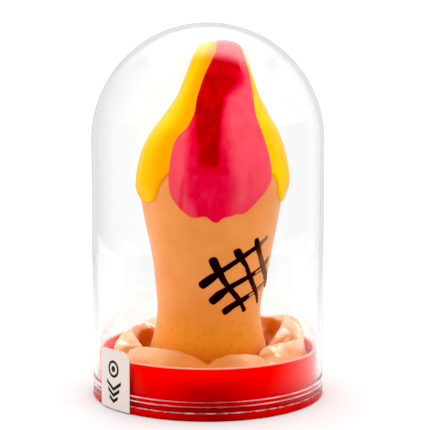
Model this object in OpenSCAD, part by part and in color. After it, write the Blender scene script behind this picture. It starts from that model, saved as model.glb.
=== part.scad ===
// Painted latex figure on an inner stake, standing in a red cup base under a clear lift-off dome.
// Origin: centre of the base's underside. +Z is up, and -Y is the painted front.

/* [Dome] */
// Outer radius of the clear dome and of the base flange
dome_r = 35.5; // [35:0.1:37]
// Wall thickness of the dome
dome_wall = 1.2; // [1:0.1:1.4]
// Height of the round crown's centre above the table
crown_z = 77.5; // [76:0.5:90]
// How far the two fine rim beads stand out
bead_h = 0.2; // [0.1:0.05:0.3]

/* [Base cup] */
// Thickness of the flange that the dome stands on
flange_h = 2; // [1.8:0.1:2.4]
// Height of the collar's lip above the table
collar_h = 14.6; // [13:0.2:15]
// Wall thickness of the collar
collar_wall = 1.2; // [1:0.1:1.3]

/* [Figure] */
// Radius of the figure at its slim lower part
neck_r = 15.7; // [15.5:0.05:15.8]
// Radius of the figure at its widest section
bulge_r = 23.2; // [22:0.2:24]
// Height of the figure's tip above the table
tip_z = 107.6; // [106:0.2:109]
// Sideways lean of the tip towards +X
lean = 3.9; // [0:0.1:5]
// Wall thickness of the latex sheath
latex_wall = 0.6; // [0.4:0.1:0.8]
// Thickness of the yellow and pink coats
coat_h = 0.35; // [0.2:0.05:0.5]

/* [Seal label] */
// Width of the paper seal along the dome's wall
label_w = 13.8; // [10:0.2:18]
// Height of the paper seal
label_h = 17.4; // [12:0.2:22]
// Turn of the seal from the front towards -X, in degrees
label_turn = 49; // [0:1:180]

/* [Hidden] */
$fn = 96;

touch = 0.05;             // gap between faces that meet
round_segments = 40;      // segments around the lofted latex
profile_steps = 39;       // rings up the lofted latex
arc_steps = 32;           // steps round the dome's crown

// Cup
cup_gap = 0.8;            // radial room between the collar and the dome's inside
collar_r = dome_r - dome_wall - cup_gap;
collar_in = collar_r - collar_wall;
floor_z = 2.2;            // top of the cup's floor
foot_r = 14;              // radius of the stake's foot
foot_h = 1.6;
seat_gap = 0.3;           // radial room round the stake's foot
seat_wall = 1.3;
seat_h = 1.2;             // height of the ring that centres the foot
foot_top = floor_z + touch + foot_h;

// Hem
hem_floor = foot_top + 0.15;
hem_in = 16.05;
hem_out = collar_in - 0.35;
bead_r = 0.75;            // section radius of the rolled bead
bead_ring_r = 29.6;

// Height, radius and share of the lean at the figure's main sections
sections = [
    [hem_floor, neck_r - 0.2, 0],
    [26, neck_r + 0.1, 0.05],
    [38, 17.1, 0.15],
    [50, 19.4, 0.2],
    [58, 21, 0.25],
    [64.5, bulge_r, 0.4],
    [72, 22.2, 0.43],
    [79.5, 19.4, 0.52],
    [86, 15.3, 0.68],
    [92, 11.8, 0.82],
    [98.5, 9.4, 0.87],
    [104, 7.4, 0.93],
    [tip_z - 1, 5, 0.98],
    [tip_z, 0, 1]
];

// Outlines of the coats: height, left edge and right edge of the pink coat, in degrees from the front
pink_sides = [
    [54, -33, 42], [61, -33, 40], [66, -34, 45], [73, -35, 47.5], [77, -34.5, 46], [80, -28, 45.5],
    [85, -25, 46], [88, -28, 51], [93, -28, 60], [97, -24, 64], [101, -16, 65], [104, -9, 65], [110, -8, 65]
];
// Share of the way from left to right, and height of the pink coat's lower edge
pink_edge = [
    [0, 62], [0.06, 58.5], [0.14, 56], [0.25, 55.4], [0.4, 55.5], [0.48, 54.1], [0.56, 54.4],
    [0.64, 55.7], [0.78, 56.4], [0.88, 57.6], [0.96, 60.5], [1, 63.5]
];
// Share of the way round the back from right to left, and height of the yellow coat's lower edge
yellow_edge = [
    [0, 68.5], [0.06, 62.5], [0.13, 59], [0.2, 61], [0.3, 67], [0.4, 64], [0.52, 58], [0.62, 63],
    [0.71, 67.5], [0.82, 61], [0.88, 59], [0.94, 61.5], [1, 68.5]
];
coat_gap = 0.8;           // degrees between the coats
skin_gap = 0.15;          // room between the latex and what is painted on it
coat_top = tip_z - 0.08;  // the coats' highest ring

// Painted grid: each stroke runs through points of angle from the front and height
grid_across = [
    [[-6, 35.5], [10, 39.5], [26, 42.6], [46, 46.3], [57, 48.4]],
    [[5, 30.9], [21, 34.6], [43, 37.6], [61, 40], [70, 42.4]],
    [[19, 27.4], [38, 30.3], [60, 33], [79, 35.4]]
];
grid_down = [
    [[4, 43.2], [11, 38.3], [22, 34], [34, 30.3], [43, 27]],
    [[24, 45.8], [32, 42.5], [42, 38.4], [52, 33.7], [64, 29]],
    [[46, 49], [54, 45], [64, 40.7], [75, 36.8], [86, 33.2]]
];
stroke_w = 1.1;
stroke_h = 0.3;
stroke_steps = 18;        // sections along a stroke

// ---- functions ----
function mix(a, b, t) = a + (b - a) * t;

// Point at place u, from 0 to len(p) - 1, of the smooth curve through p
function spline(p, u) =
    let (i = min(floor(u), len(p) - 2), t = u - i)
    let (a = p[max(i - 1, 0)], b = p[i], c = p[i + 1], d = p[min(i + 2, len(p) - 1)])
    0.5 * (2 * b + (c - a) * t + (2 * a - 5 * b + 4 * c - d) * t ^ 2 + (3 * b - a - 3 * c + d) * t ^ 3);

function spline_points(p, steps) = [for (k = [0 : steps]) spline(p, k * (len(p) - 1) / steps)];

// The figure's profile as [height, radius, sideways place], and the step of the profile at each height
profile = [for (p = spline_points(sections, profile_steps)) [p[0], max(p[1], 0), p[2] * lean]];
step_table = [for (i = [0 : profile_steps]) [profile[i][0], i]];
function step_at(z) = lookup(z, step_table);

// The profile moved by d along its normal
function moved_profile(d) = [
    for (i = [0 : profile_steps])
        let (a = profile[max(i - 1, 0)], b = profile[min(i + 1, profile_steps)])
        let (l = norm([b[0] - a[0], b[1] - a[1]]))
        i == profile_steps
            ? [profile[i][0] + d, 0, profile[i][2]]
            : [profile[i][0] + (i == 0 ? 0 : -d * (b[1] - a[1]) / l),
               profile[i][1] + d * (b[0] - a[0]) / l, profile[i][2]]
];

function around(centre_x, r, angle, z) = [centre_x + r * sin(angle), -r * cos(angle), z];
function ring(p) = [for (k = [0 : round_segments - 1]) around(p[2], p[1], 360 * k / round_segments, p[0])];

// Faces of a tube of rings that start at point `first`; `out` is true where its outside faces outwards
function tube_faces(first, rings, out) = [
    for (i = [0 : rings - 2], k = [0 : round_segments - 1])
        let (a = first + i * round_segments, n = (k + 1) % round_segments)
        let (b = a + round_segments)
        for (f = out ? [[a + k, b + k, a + n], [a + n, b + k, b + n]]
                     : [[a + k, a + n, b + k], [a + n, b + n, b + k]])
            f
];

function fan_faces(first, tip, out) = [
    for (k = [0 : round_segments - 1])
        let (n = (k + 1) % round_segments)
        out ? [first + k, tip, first + n] : [first + k, first + n, tip]
];

// Row of the profile p at a step, which may lie between two rings
function row_at(p, step) =
    let (i = min(floor(step), profile_steps - 1))
    mix(p[i], p[i + 1], step - i);

function on_profile(p, angle, step) =
    let (row = row_at(p, step))
    around(row[2], row[1], angle, row[0]);

// Faces of a closed patch: an outer grid of rows by cols points and then an inner one
function patch_faces(rows, cols) =
    let (inner = rows * cols)
    concat(
        [for (i = [0 : rows - 2], k = [0 : cols - 2])
            let (a = i * cols + k)
            for (f = [[a, a + cols, a + 1], [a + 1, a + cols, a + cols + 1],
                      [inner + a, inner + a + 1, inner + a + cols],
                      [inner + a + 1, inner + a + cols + 1, inner + a + cols]]) f],
        [for (i = [0 : rows - 2], side = [0, cols - 1])
            let (a = i * cols + side, flip = side > 0)
            for (f = flip ? [[a, a + cols, inner + a], [a + cols, inner + a + cols, inner + a]]
                          : [[a, inner + a, a + cols], [a + cols, inner + a, inner + a + cols]]) f],
        [for (k = [0 : cols - 2], end = [0, rows - 1])
            let (a = end * cols + k, flip = end > 0)
            for (f = flip ? [[a, inner + a, a + 1], [a + 1, inner + a, inner + a + 1]]
                          : [[a, a + 1, inner + a], [a + 1, inner + a + 1, inner + a]]) f]
    );

// ---- sub-parts ----
module base_cup() {
    foot_in = 30;         // inner radius of the foot ring underneath
    recess = 0.5;
    lip = collar_wall / 2;
    seat_in = foot_r + seat_gap;
    snap_z = 4.1;         // a low bead on the collar that holds the dome's rim
    color([0.85, 0.03, 0.03])
    rotate_extrude()
    polygon(concat(
        [[0, recess], [foot_in, recess], [foot_in + recess, 0], [dome_r - 0.5, 0], [dome_r, 0.5],
         [dome_r, flange_h], [collar_r, flange_h], [collar_r, snap_z - 0.6], [collar_r + 0.35, snap_z],
         [collar_r, snap_z + 0.6]],
        [for (a = [0 : 30 : 180]) [collar_r - lip + lip * cos(a), collar_h - lip + lip * sin(a)]],
        [[collar_in, floor_z], [seat_in + seat_wall, floor_z], [seat_in + seat_wall, floor_z + seat_h],
         [seat_in, floor_z + seat_h], [seat_in, floor_z], [0, floor_z]]
    ));
}

module dome() {
    foot = flange_h + touch;
    inner_r = dome_r - dome_wall;
    half = bead_h * 1.3;  // half of a bead's height
    rim_edge = 0.3;
    function crown(r, a) = [r * cos(a), crown_z + r * sin(a)];
    color([0.9, 0.95, 0.97, 0.3])
    rotate_extrude()
    polygon(concat(
        [[inner_r, foot], [dome_r - rim_edge, foot], [dome_r, foot + rim_edge]],
        [for (z = [4.1, 5.4], k = [-1 : 1]) [dome_r + (k == 0 ? bead_h : 0), z + k * half]],
        [for (i = [0 : arc_steps]) crown(dome_r, 90 * i / arc_steps)],
        [for (i = [arc_steps : -1 : 0]) crown(inner_r, 90 * i / arc_steps)]
    ));
}

module seal_label() {
    inside = dome_r + bead_h + 0.02;
    paper = 0.15;
    corner = 3;
    low = 0.3;
    color([0.92, 0.9, 0.87])
    rotate([0, 0, -label_turn])
    intersection() {
        difference() {
            cylinder(r = inside + paper, h = label_h + low);
            translate([0, 0, -1]) cylinder(r = inside, h = label_h + 2 * low + 2);
        }
        translate([0, -dome_r + 10, low])
        rotate([90, 0, 0])
        linear_extrude(20) {
            translate([-label_w / 2, 0]) square([label_w, label_h - corner]);
            translate([-label_w / 2 + corner, 0]) square([label_w - 2 * corner, label_h]);
            for (x = [-1, 1]) translate([x * (label_w / 2 - corner), label_h - corner]) circle(r = corner);
        }
    }
}

// Outline of the stake's blade, seen from the front
module stake_outline(grow = 0) {
    blade = 3.8 + grow;
    collar = 6 + grow;
    collar_z = 66;
    collar_top = 70;
    polygon([
        [-blade, foot_top - touch], [blade, foot_top - touch], [blade, collar_z - grow],
        [collar, collar_z + 0.5 - grow], [collar, collar_top + grow], [blade, collar_top + 0.5 + grow],
        [blade, 89], [10.4 + grow, 95], [9.8 + grow, 97.5 + grow], [-1, 98.4 + grow],
        [-4.6 - grow, 96 + grow], [-4.8 - grow, 87], [-blade, 84], [-blade, collar_top + 0.5 + grow],
        [-collar, collar_top + grow], [-collar, collar_z + 0.5 - grow], [-blade, collar_z - grow]
    ]);
}

module inner_stake() {
    blade_t = 3;
    color([0.55, 0.42, 0.28]) {
        translate([0, 0, floor_z + touch]) cylinder(r = foot_r, h = foot_h);
        rotate([90, 0, 0]) translate([0, 0, -blade_t / 2]) linear_extrude(blade_t) stake_outline();
    }
}

module wadding() {
    inside = moved_profile(-latex_wall - 0.1);
    rings = [for (i = [0 : profile_steps - 1]) inside[i]];
    ends = [inside[0], inside[profile_steps]];
    points = concat([for (p = rings) for (q = ring(p)) q], [for (p = ends) around(p[2], 0, 0, p[0])]);
    count = len(rings) * round_segments;
    slot_t = 3.2;
    color([0.94, 0.93, 0.9])
    difference() {
        polyhedron(points, concat(tube_faces(0, len(rings), true), fan_faces(0, count, false),
                                  fan_faces(count - round_segments, count + 1, true)));
        rotate([90, 0, 0]) translate([0, 0, -slot_t / 2]) linear_extrude(slot_t) stake_outline(0.1);
        translate([-8, -slot_t / 2, 0]) cube([16, slot_t, hem_floor + 1]);
    }
}

module latex_sheath() {
    inside = moved_profile(-latex_wall);
    outer = [for (i = [0 : profile_steps - 1]) profile[i]];
    inner = [for (i = [0 : profile_steps - 1]) inside[i]];
    per_side = profile_steps * round_segments;
    tips = 2 * per_side;
    ends = [profile[profile_steps], inside[profile_steps]];
    points = concat([for (p = concat(outer, inner)) for (q = ring(p)) q],
                    [for (p = ends) around(p[2], 0, 0, p[0])]);
    color([0.94, 0.62, 0.38])
    polyhedron(points, concat(
        tube_faces(0, profile_steps, true),
        fan_faces(per_side - round_segments, tips, true),
        tube_faces(per_side, profile_steps, false),
        fan_faces(tips - round_segments, tips + 1, false),
        [for (k = [0 : round_segments - 1])
            let (n = (k + 1) % round_segments)
            for (f = [[k, n, per_side + k], [n, per_side + n, per_side + k]]) f]
    ));
}

module gathered_hem() {
    // Height of the folds' crest above the table: low in front, high at the back, with seven lobes
    function crest(a) = 18.2 - 2.2 * cos(a) + 1.3 * cos(7 * a + 150) + 0.6 * cos(3 * a - 60);
    function section(a) =
        let (h = crest(a), out = hem_out - 0.5 + 0.5 * cos(7 * a))
        [[hem_in, hem_floor], [hem_out - 2, hem_floor], [hem_out, hem_floor + 3], [hem_out, 11],
         [out - 0.6, mix(11, h, 0.6)], [out - 3, h - 0.6], [mix(hem_in, out, 0.55), h],
         [mix(hem_in, out, 0.3), h - 1], [hem_in + 2.6, mix(8, h, 0.6)], [hem_in + 2, 15.2],
         [hem_in + 0.9, 19], [hem_in + 0.3, 22.5], [hem_in, 25.5]];
    sides = 13;
    turns = 70;
    points = [
        for (k = [0 : turns - 1])
            let (a = 360 * k / turns)
            for (p = section(a)) around(0, p[0], a, p[1])
    ];
    color([0.96, 0.72, 0.52])
    polyhedron(points, [
        for (k = [0 : turns - 1], i = [0 : sides - 1])
            let (a = k * sides, b = ((k + 1) % turns) * sides, n = (i + 1) % sides)
            for (f = [[a + i, a + n, b + i], [a + n, b + n, b + i]]) f
    ]);
}

module rolled_bead() {
    color([0.94, 0.66, 0.44])
    translate([0, 0, floor_z + touch + bead_r])
    rotate_extrude() translate([bead_ring_r, 0]) circle(r = bead_r, $fn = 32);
}

// A coat of paint from its lower edge up to the tip, between a left and a right edge
module coat(lower, left, right, rows, cols) {
    function step(i, k) = mix(step_at(lookup(k / (cols - 1), lower)), step_at(coat_top), i / (rows - 1));
    function angle(z, k) = mix(lookup(z, left), lookup(z, right), k / (cols - 1));
    points = [
        for (skin = [moved_profile(skin_gap + coat_h), moved_profile(skin_gap)])
            for (i = [0 : rows - 1], k = [0 : cols - 1])
                let (s = step(i, k))
                on_profile(skin, angle(row_at(profile, s)[0], k), s)
    ];
    polyhedron(points, patch_faces(rows, cols));
}

module pink_coat() {
    color([0.93, 0.08, 0.25])
    coat(pink_edge, [for (p = pink_sides) [p[0], p[1]]], [for (p = pink_sides) [p[0], p[2]]], 24, 26);
}

module yellow_coat() {
    color([1, 0.75, 0])
    coat(yellow_edge, [for (p = pink_sides) [p[0], p[2] + coat_gap]],
         [for (p = pink_sides) [p[0], 360 + p[1] - coat_gap]], 22, 70);
}

module grid_stroke(line) {
    course = spline_points(line, stroke_steps);
    skins = [moved_profile(skin_gap + stroke_h), moved_profile(skin_gap)];
    corners = [[-0.5, 0], [0.5, 0], [0.5, 1], [-0.5, 1]];
    points = [
        for (i = [0 : stroke_steps])
            let (p = course[i], a = course[max(i - 1, 0)], b = course[min(i + 1, stroke_steps)])
            let (per_degree = row_at(profile, step_at(p[1]))[1] * PI / 180)
            let (run = [(b[0] - a[0]) * per_degree, b[1] - a[1]])
            let (across = stroke_w * [-run[1], run[0]] / norm(run))
            for (c = corners)
                let (angle = p[0] + c[0] * across[0] / per_degree)
                on_profile(skins[c[1]], angle, step_at(p[1] + c[0] * across[1]))
    ];
    last = stroke_steps * 4;
    polyhedron(points, concat(
        [[3, 2, 1, 0], [last, last + 1, last + 2, last + 3]],
        [for (i = [0 : stroke_steps - 1], k = [0 : 3])
            let (a = i * 4, n = (k + 1) % 4)
            for (f = [[a + k, a + n, a + 4 + k], [a + n, a + 4 + n, a + 4 + k]]) f]
    ));
}

module grid_lines() {
    color([0.08, 0.04, 0.03])
    union() {
        for (line = concat(grid_across, grid_down)) grid_stroke(line);
    }
}

base_cup();
dome();
seal_label();
inner_stake();
wadding();
latex_sheath();
gathered_hem();
rolled_bead();
yellow_coat();
pink_coat();
grid_lines();
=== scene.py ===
"""Looks for a painted latex figure in a red cup base, under a clear lift-off dome.

Shapes are worked out in millimetres, in the CAD model's frame, and add_mesh() turns them into metres.
Angles are degrees from the painted front (-Y), growing towards +X. A coat or a stroke lies on the
figure's skin, so its points are an angle, a place up the profile and a lift off the skin.
"""
import math

import bpy
import numpy as np
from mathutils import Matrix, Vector


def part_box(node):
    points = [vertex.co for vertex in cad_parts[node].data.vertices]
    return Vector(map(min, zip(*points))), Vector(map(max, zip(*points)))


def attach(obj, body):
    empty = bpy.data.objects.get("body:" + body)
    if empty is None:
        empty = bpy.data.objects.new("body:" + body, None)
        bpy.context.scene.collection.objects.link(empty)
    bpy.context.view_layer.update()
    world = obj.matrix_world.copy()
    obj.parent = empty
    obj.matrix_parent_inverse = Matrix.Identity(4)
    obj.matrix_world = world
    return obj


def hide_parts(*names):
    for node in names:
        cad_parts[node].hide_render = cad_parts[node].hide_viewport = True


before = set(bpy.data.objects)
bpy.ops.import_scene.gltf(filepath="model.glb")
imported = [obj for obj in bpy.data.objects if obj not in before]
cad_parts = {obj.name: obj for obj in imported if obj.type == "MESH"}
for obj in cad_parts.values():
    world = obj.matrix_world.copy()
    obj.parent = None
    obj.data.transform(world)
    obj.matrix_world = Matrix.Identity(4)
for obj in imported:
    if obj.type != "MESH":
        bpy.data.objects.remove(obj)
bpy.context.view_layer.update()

MM = 0.001
SCENE = bpy.context.scene


def box_mm(node):
    """Lowest and highest corner of a CAD node, in millimetres."""
    low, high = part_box(node)
    return np.array(low) / MM, np.array(high) / MM


# ---- Sizes in mm, from the frame or the same as in the CAD model ----
BEAD_H = 0.2
WALL = 1.2
COLLAR_WALL = 1.2
(_, _, RIM_Z), (BEAD_R, _, DOME_TOP) = box_mm("dome")
DOME_R = BEAD_R - BEAD_H
CROWN_Z = DOME_TOP - DOME_R
COLLAR_R = DOME_R - WALL - 0.8
FLANGE_R, _, LIP_Z = box_mm("base_cup")[1]
(_, _, FIGURE_BOTTOM), (_, _, TIP_Z) = box_mm("latex_sheath")
(_, _, LABEL_LOW), (_, _, LABEL_TOP) = box_mm("seal_label")
LABEL_H = LABEL_TOP - LABEL_LOW


# ---- Curves ----
def smooth_step(x, low, high):
    t = np.clip((x - low) / (high - low), 0, 1)
    return t * t * (3 - 2 * t)


def plateau(x, start, full, fade, end):
    """0 up to start, 1 from full to fade, and 0 again past end."""
    return smooth_step(x, start, full) * (1 - smooth_step(x, fade, end))


def spline(points, count):
    """A smooth curve through the points, as count points evenly spread over the spans."""
    p = np.array(points, float)
    u = np.linspace(0, len(p) - 1, count)
    i = np.minimum(u.astype(int), len(p) - 2)
    t = (u - i)[:, None]
    a, b, c, d = (p[np.clip(i + k, 0, len(p) - 1)] for k in (-1, 0, 1, 2))
    return 0.5 * (2 * b + (c - a) * t + (2 * a - 5 * b + 4 * c - d) * t**2 + (3 * b - a - 3 * c + d) * t**3)


def through(x, points):
    """A smooth function through the points (x, y), at every x of an array."""
    p = np.array(points, float)
    slope = np.gradient(p[:, 1], p[:, 0])
    i = np.clip(np.searchsorted(p[:, 0], x) - 1, 0, len(p) - 2)
    h = p[i + 1, 0] - p[i, 0]
    t = np.clip((x - p[i, 0]) / h, 0, 1)
    start = (2 * t**3 - 3 * t**2 + 1) * p[i, 1] + (t**3 - 2 * t**2 + t) * h * slope[i]
    return start + (3 * t**2 - 2 * t**3) * p[i + 1, 1] + (t**3 - t**2) * h * slope[i + 1]


def eased(count, ends=0.7):
    """Numbers from 0 to 1, closer together near both ends."""
    t = np.linspace(0, 1, count)
    return (1 - ends) * t + ends * (0.5 - 0.5 * np.cos(np.pi * t))


def around(a, r, z):
    """Points at an angle in radians, a distance from the axis and a height."""
    return np.stack([r * np.sin(a), -r * np.cos(a), z + 0 * a], axis=-1)


def arc(centre, radius, start, end, count):
    """Points (r, z) round a centre, between two angles in degrees from the +r direction."""
    a = np.radians(np.linspace(start, end, count))
    return [(centre[0] + radius * math.cos(t), centre[1] + radius * math.sin(t)) for t in a]


# ---- Meshes ----
def add_mesh(name, points, faces, sharp=50):
    """A smooth-shaded mesh object from points in millimetres. Edges past the sharp angle stay crisp."""
    mesh = bpy.data.meshes.new(name)
    mesh.from_pydata([tuple(p) for p in np.array(points, float) * MM], [], faces)
    mesh.validate()
    mesh.shade_smooth()
    mesh.set_sharp_from_angle(angle=math.radians(sharp))
    piece = bpy.data.objects.new(name, mesh)
    SCENE.collection.objects.link(piece)
    return piece


def dress(piece, body, slot, material, *stands_for):
    """Puts a piece on its body, in its material, in place of the CAD nodes that it stands for."""
    piece.data.materials.append(material)
    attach(piece, body)
    if stands_for:
        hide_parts(*stands_for)
    return piece


def store(piece, name, values):
    """Keeps one number for each vertex, which a material reads by name."""
    layer = piece.data.attributes.new(name, "FLOAT", "POINT")
    layer.data.foreach_set("value", np.asarray(values, np.float32).ravel())


def grid_faces(rows, cols, first=0, flip=False, round_trip=False):
    """Quads over a grid of points. Unflipped, they face along (next column) x (next row)."""
    faces = []
    for i in range(rows - 1):
        for k in range(cols if round_trip else cols - 1):
            a, b = first + i * cols + k, first + i * cols + (k + 1) % cols
            quad = [a, b, b + cols, a + cols]
            faces.append(quad[::-1] if flip else quad)
    return faces


def patch_faces(rows, cols):
    """Faces of a closed patch: an outer grid, then an inner one, joined round their edges."""
    inner = rows * cols
    faces = grid_faces(rows, cols) + grid_faces(rows, cols, inner, flip=True)
    rim = list(range(cols)) + [i * cols + cols - 1 for i in range(1, rows)]
    rim += [(rows - 1) * cols + k for k in range(cols - 2, -1, -1)]
    rim += [i * cols for i in range(rows - 2, 0, -1)]
    for a, b in zip(rim, rim[1:] + rim[:1]):
        faces.append([b, a, inner + a, inner + b])
    return faces


def fan(pole, ring, sides, flip=False):
    """Triangles from one point to a ring, given its first point. Unflipped, the pole is above the ring."""
    faces = [[ring + k, ring + (k + 1) % sides, pole] for k in range(sides)]
    return [face[::-1] for face in faces] if flip else faces


def lathe(name, outline, sides=256, sharp=50):
    """A solid of revolution. The outline runs from pole to pole, anticlockwise in (r, z)."""
    turn = [2 * math.pi * k / sides for k in range(sides)]
    points = [(0, 0, outline[0][1])]
    points += [(r * math.sin(a), -r * math.cos(a), z) for r, z in outline[1:-1] for a in turn]
    points.append((0, 0, outline[-1][1]))
    faces = fan(0, 1, sides, flip=True)
    faces += grid_faces(len(outline) - 2, sides, 1, round_trip=True)
    faces += fan(len(points) - 1, len(points) - 1 - sides, sides)
    return add_mesh(name, points, faces, sharp)


# ---- Materials ----
class Nodes:
    """Short calls for the nodes of one tree."""

    def __init__(self, tree):
        self.tree = tree

    def new(self, kind):
        return self.tree.nodes.new("ShaderNode" + kind)

    def fill(self, socket, value):
        """Links a socket into another one, or sets a plain value there."""
        if isinstance(value, bpy.types.NodeSocket):
            self.tree.links.new(value, socket)
        else:
            socket.default_value = value

    def add(self, kind, inputs=None, **settings):
        """Adds a node, sets or links its inputs, and gives its first output."""
        node = self.new(kind)
        for key, value in settings.items():
            setattr(node, key, value)
        for key, value in (inputs or {}).items():
            self.fill(node.inputs[key], value)
        return node.outputs[0]

    def part(self, vector, axis):
        """One axis of a vector."""
        return self.add("SeparateXYZ", {0: vector}).node.outputs[axis]

    def math(self, operation, a, b=0, clamp=False):
        return self.add("Math", {0: a, 1: b}, operation=operation, use_clamp=clamp)

    def times(self, product, *values):
        for value in values:
            product = self.math("MULTIPLY", product, value)
        return product

    def between(self, value, low, high, start=0, end=1, kind="SMOOTHSTEP"):
        """From start, where value is low, to end, where it is high."""
        inputs = {"Value": value, "From Min": low, "From Max": high, "To Min": start, "To Max": end}
        return self.add("MapRange", inputs, interpolation_type=kind)

    def ramp(self, value, *stops):
        node = self.add("ValToRGB", {0: value}).node
        points = node.color_ramp.elements
        while len(points) < len(stops):
            points.new(0.5)
        for point, (place, colour) in zip(points, stops):
            point.position = place
            point.color = (*colour, 1)
        return node.outputs[0]

    def blend(self, share, a, b, mode="MIX"):
        """a, going to b as share goes from 0 to 1."""
        node = self.new("Mix")
        node.data_type = "RGBA"
        node.blend_type = mode
        self.fill(node.inputs[0], share)
        for key, value in ((6, a), (7, b)):
            self.fill(node.inputs[key], (*value, 1) if isinstance(value, tuple) else value)
        return node.outputs[2]


class Paint(Nodes):
    """A material's node tree round one Principled shader."""

    def __init__(self, name, **sockets):
        self.material = bpy.data.materials.new(name)
        self.material.use_nodes = True
        super().__init__(self.material.node_tree)
        self.shader = self.tree.nodes["Principled BSDF"]
        place = self.new("TexCoord").outputs["Object"]
        self.place = self.add("VectorMath", {0: place, "Scale": 1 / MM}, operation="SCALE")
        for key, value in sockets.items():
            self.shader.inputs[key.replace("_", " ")].default_value = value

    def link(self, socket, name):
        self.tree.links.new(socket, self.shader.inputs[name])

    def glow(self, weight, radius, scale):
        """Light scattered under the surface, up to scale mm deep."""
        for key, value in (("Weight", weight), ("Radius", radius), ("Scale", scale * MM)):
            self.shader.inputs["Subsurface " + key].default_value = value

    def axis(self, name):
        return self.part(self.place, name)

    def aside(self):
        """Distance from the middle plane, in mm."""
        return self.math("ABSOLUTE", self.axis("X"))

    def stored(self, name):
        node = self.new("Attribute")
        node.attribute_name = name
        return node.outputs["Fac"]

    def noise(self, size, detail=3, stretch=(1, 1, 1), rough=0.5):
        """Noise from 0 to 1 whose blobs are about size millimetres across."""
        place = self.add("VectorMath", {0: self.place, 1: stretch}, operation="MULTIPLY")
        inputs = {"Vector": place, "Scale": 1 / size, "Detail": detail, "Roughness": rough}
        return self.add("TexNoise", inputs)

    def rough(self, value, start, end, low=0.3, high=0.7):
        """Roughness from start to end, as a value goes from low to high."""
        self.link(self.between(value, low, high, start, end), "Roughness")

    def bump(self, height, depth):
        """Bumps depth millimetres high."""
        self.link(self.add("Bump", {"Height": height, "Distance": depth * MM, "Strength": 1}), "Normal")


def clear_plastic():
    """Clear moulded plastic. Lamps and scattered light pass straight through, so that it shades nothing. Its
    beads and rim carry painted glints: white lines, stronger towards the sides.
    """
    p = Paint("clear_plastic")
    rough = p.between(p.noise(2.2, 4), 0.66, 0.78, 0, 0.04)
    wave = p.add("Bump", {"Height": p.noise(14, 1), "Distance": 0.02 * MM, "Strength": 1})
    look = {"Color": (0.978, 0.98, 0.978, 1), "IOR": 1.49, "Roughness": rough, "Normal": wave}
    glass = p.add("BsdfGlass", look)
    clear = p.add("BsdfTransparent", {"Color": (0.97, 0.975, 0.975, 1)})
    path = p.new("LightPath")
    shading = p.math("MAXIMUM", path.outputs["Is Shadow Ray"], path.outputs["Is Diffuse Ray"])
    plastic = p.add("MixShader", {0: shading, 1: glass, 2: clear})
    # Painted glints: white lines on the beads, patchy and stronger towards the sides, and on the rim, mixed
    # over the plastic.
    side = p.between(p.aside(), 4, 24, 0.1, 0.6)
    patchy = p.between(p.noise(5, 2), 0.35, 0.55, 0.5, 1)
    beads = p.times(p.stored("bead"), side, patchy)
    rim = p.times(p.stored("rim"), p.between(p.noise(1.6, 4), 0.35, 0.6, 0.1, 0.42))
    painted_glint = p.add("BsdfDiffuse", {"Color": (1, 0.93, 0.93, 1)})
    worn = p.add("MixShader", {0: p.math("MAXIMUM", beads, rim), 1: plastic, 2: painted_glint})
    p.fill(p.tree.nodes["Material Output"].inputs["Surface"], worn)
    p.tree.nodes.remove(p.shader)
    return p.material


def red_plastic():
    """Translucent red plastic, with painted shade that darkens it downwards and most of all low at the front
    middle, so that it is brighter towards its thin upper edge, and a painted highlight that makes it pale at
    the very lip.
    """
    p = Paint("red_plastic", Specular_IOR_Level=0.2)
    p.glow(0.6, (1, 0.03, 0.03), 6)
    height = p.axis("Z")
    # Painted shade: the red darkens towards the bottom.
    reds = (0, (0.5, 0, 0)), (0.35, (0.78, 0, 0)), (0.8, (1, 0.004, 0))
    body = p.ramp(p.between(height, 1, 13.5), *reds)
    # Painted shade low down in the front middle, leaving the sides brighter.
    front = p.between(p.math("ABSOLUTE", p.math("SUBTRACT", p.axis("X"), 1)), 0, 18, 1, 0)
    low = p.between(height, 8, 13.5, 0.48, 0.1)
    body = p.blend(p.times(front, low), body, (0, 0, 0))
    body = p.blend(p.between(p.noise(16, 2), 0.35, 0.7, 0, 0.12), body, (0.5, 0, 0), "MULTIPLY")
    # Painted highlight: a pale line along the lip.
    lip = p.between(height, LIP_Z - 0.5, LIP_Z - 0.1)
    p.link(p.blend(lip, body, (1, 0.32, 0.26)), "Base Color")
    p.rough(p.noise(3, 3), 0.1, 0.22, 0.4, 0.75)
    p.bump(p.noise(9, 2), 0.03)
    return p.material


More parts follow.
